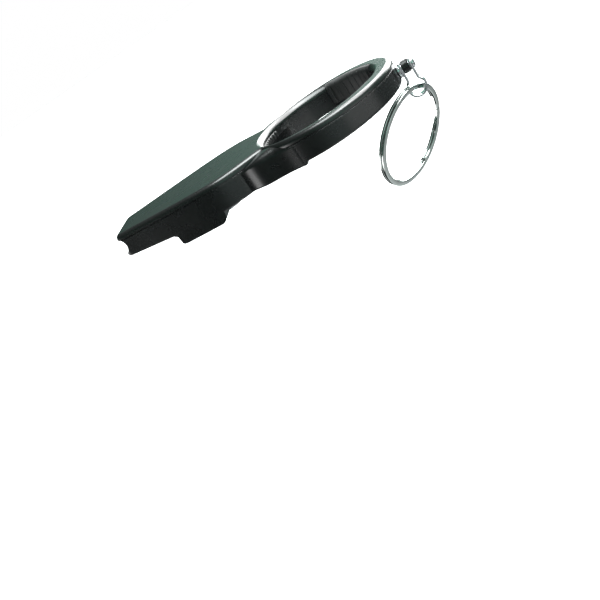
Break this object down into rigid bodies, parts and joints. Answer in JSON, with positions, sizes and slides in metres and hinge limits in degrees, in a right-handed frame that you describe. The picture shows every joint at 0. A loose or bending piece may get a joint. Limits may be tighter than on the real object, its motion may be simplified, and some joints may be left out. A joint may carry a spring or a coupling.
{
  "type": "keychain bottle opener",
  "caption": "Flat black moulded opener with a round ribbed grip hole, a leaf-shaped handle, a steel cap tooth under the neck and a split key ring on a swivel clip.",
  "frame": {"origin": "centre of the flat ceiling of the cap seat on the underside, behind the grip hole", "axes": "+X along the body towards the key ring, +Z out of the flat top face, +Y to the left when looking along +X"},
  "size_m": [0.098, 0.0436, 0.0341],
  "materials": {
    "shell_black": "satin, fine moulded texture on the cover",
    "rib_black": "matt, ribbed",
    "tooth_steel": "stamped, lightly brushed",
    "screw_steel": "zinc plated",
    "stud_chrome": "polished",
    "barrel_black": "black plated, semi-gloss",
    "clip_chrome": "polished, folded strip",
    "ring_nickel": "nickel plated wire"
  },
  "bodies": {
    "opener": {"upper_shell": "shell_black", "lower_shell": "shell_black", "lifter_plate": "tooth_steel", "grip_pad_rear": "rib_black", "grip_pad_left": "rib_black", "grip_pad_right": "rib_black", "screw_tail_left": "screw_steel", "screw_tail_right": "screw_steel", "screw_block_left": "screw_steel", "screw_block_right": "screw_steel", "screw_ring_left": "screw_steel", "screw_ring_right": "screw_steel", "stud_washer": "stud_chrome"},
    "stud": {"swivel_stud": "stud_chrome"},
    "barrel": {"swivel_barrel": "barrel_black"},
    "clip": {"swivel_clip": "clip_chrome"},
    "key_ring": {"split_key_ring": "ring_nickel"}
  },
  "joints": [
    {"name": "stud_spin", "type": "hinge", "parent": "opener", "child": "stud", "pos_m": [0.05175, 0, -0.00045], "axis": [1, 0, 0], "continuous": true},
    {"name": "barrel_spin", "type": "hinge", "parent": "stud", "child": "barrel", "pos_m": [0.05175, 0, -0.00045], "axis": [1, 0, 0], "continuous": true},
    {"name": "clip_swivel", "type": "hinge", "parent": "opener", "child": "clip", "pos_m": [0.05175, 0, -0.00045], "axis": [1, 0, 0], "range_deg": [-6, 85]},
    {"name": "ring_swing", "type": "hinge", "parent": "clip", "child": "key_ring", "pos_m": [0.05175, 0, -0.0067], "axis": [0, -1, 0], "range_deg": [-8, 160]}
  ]
}
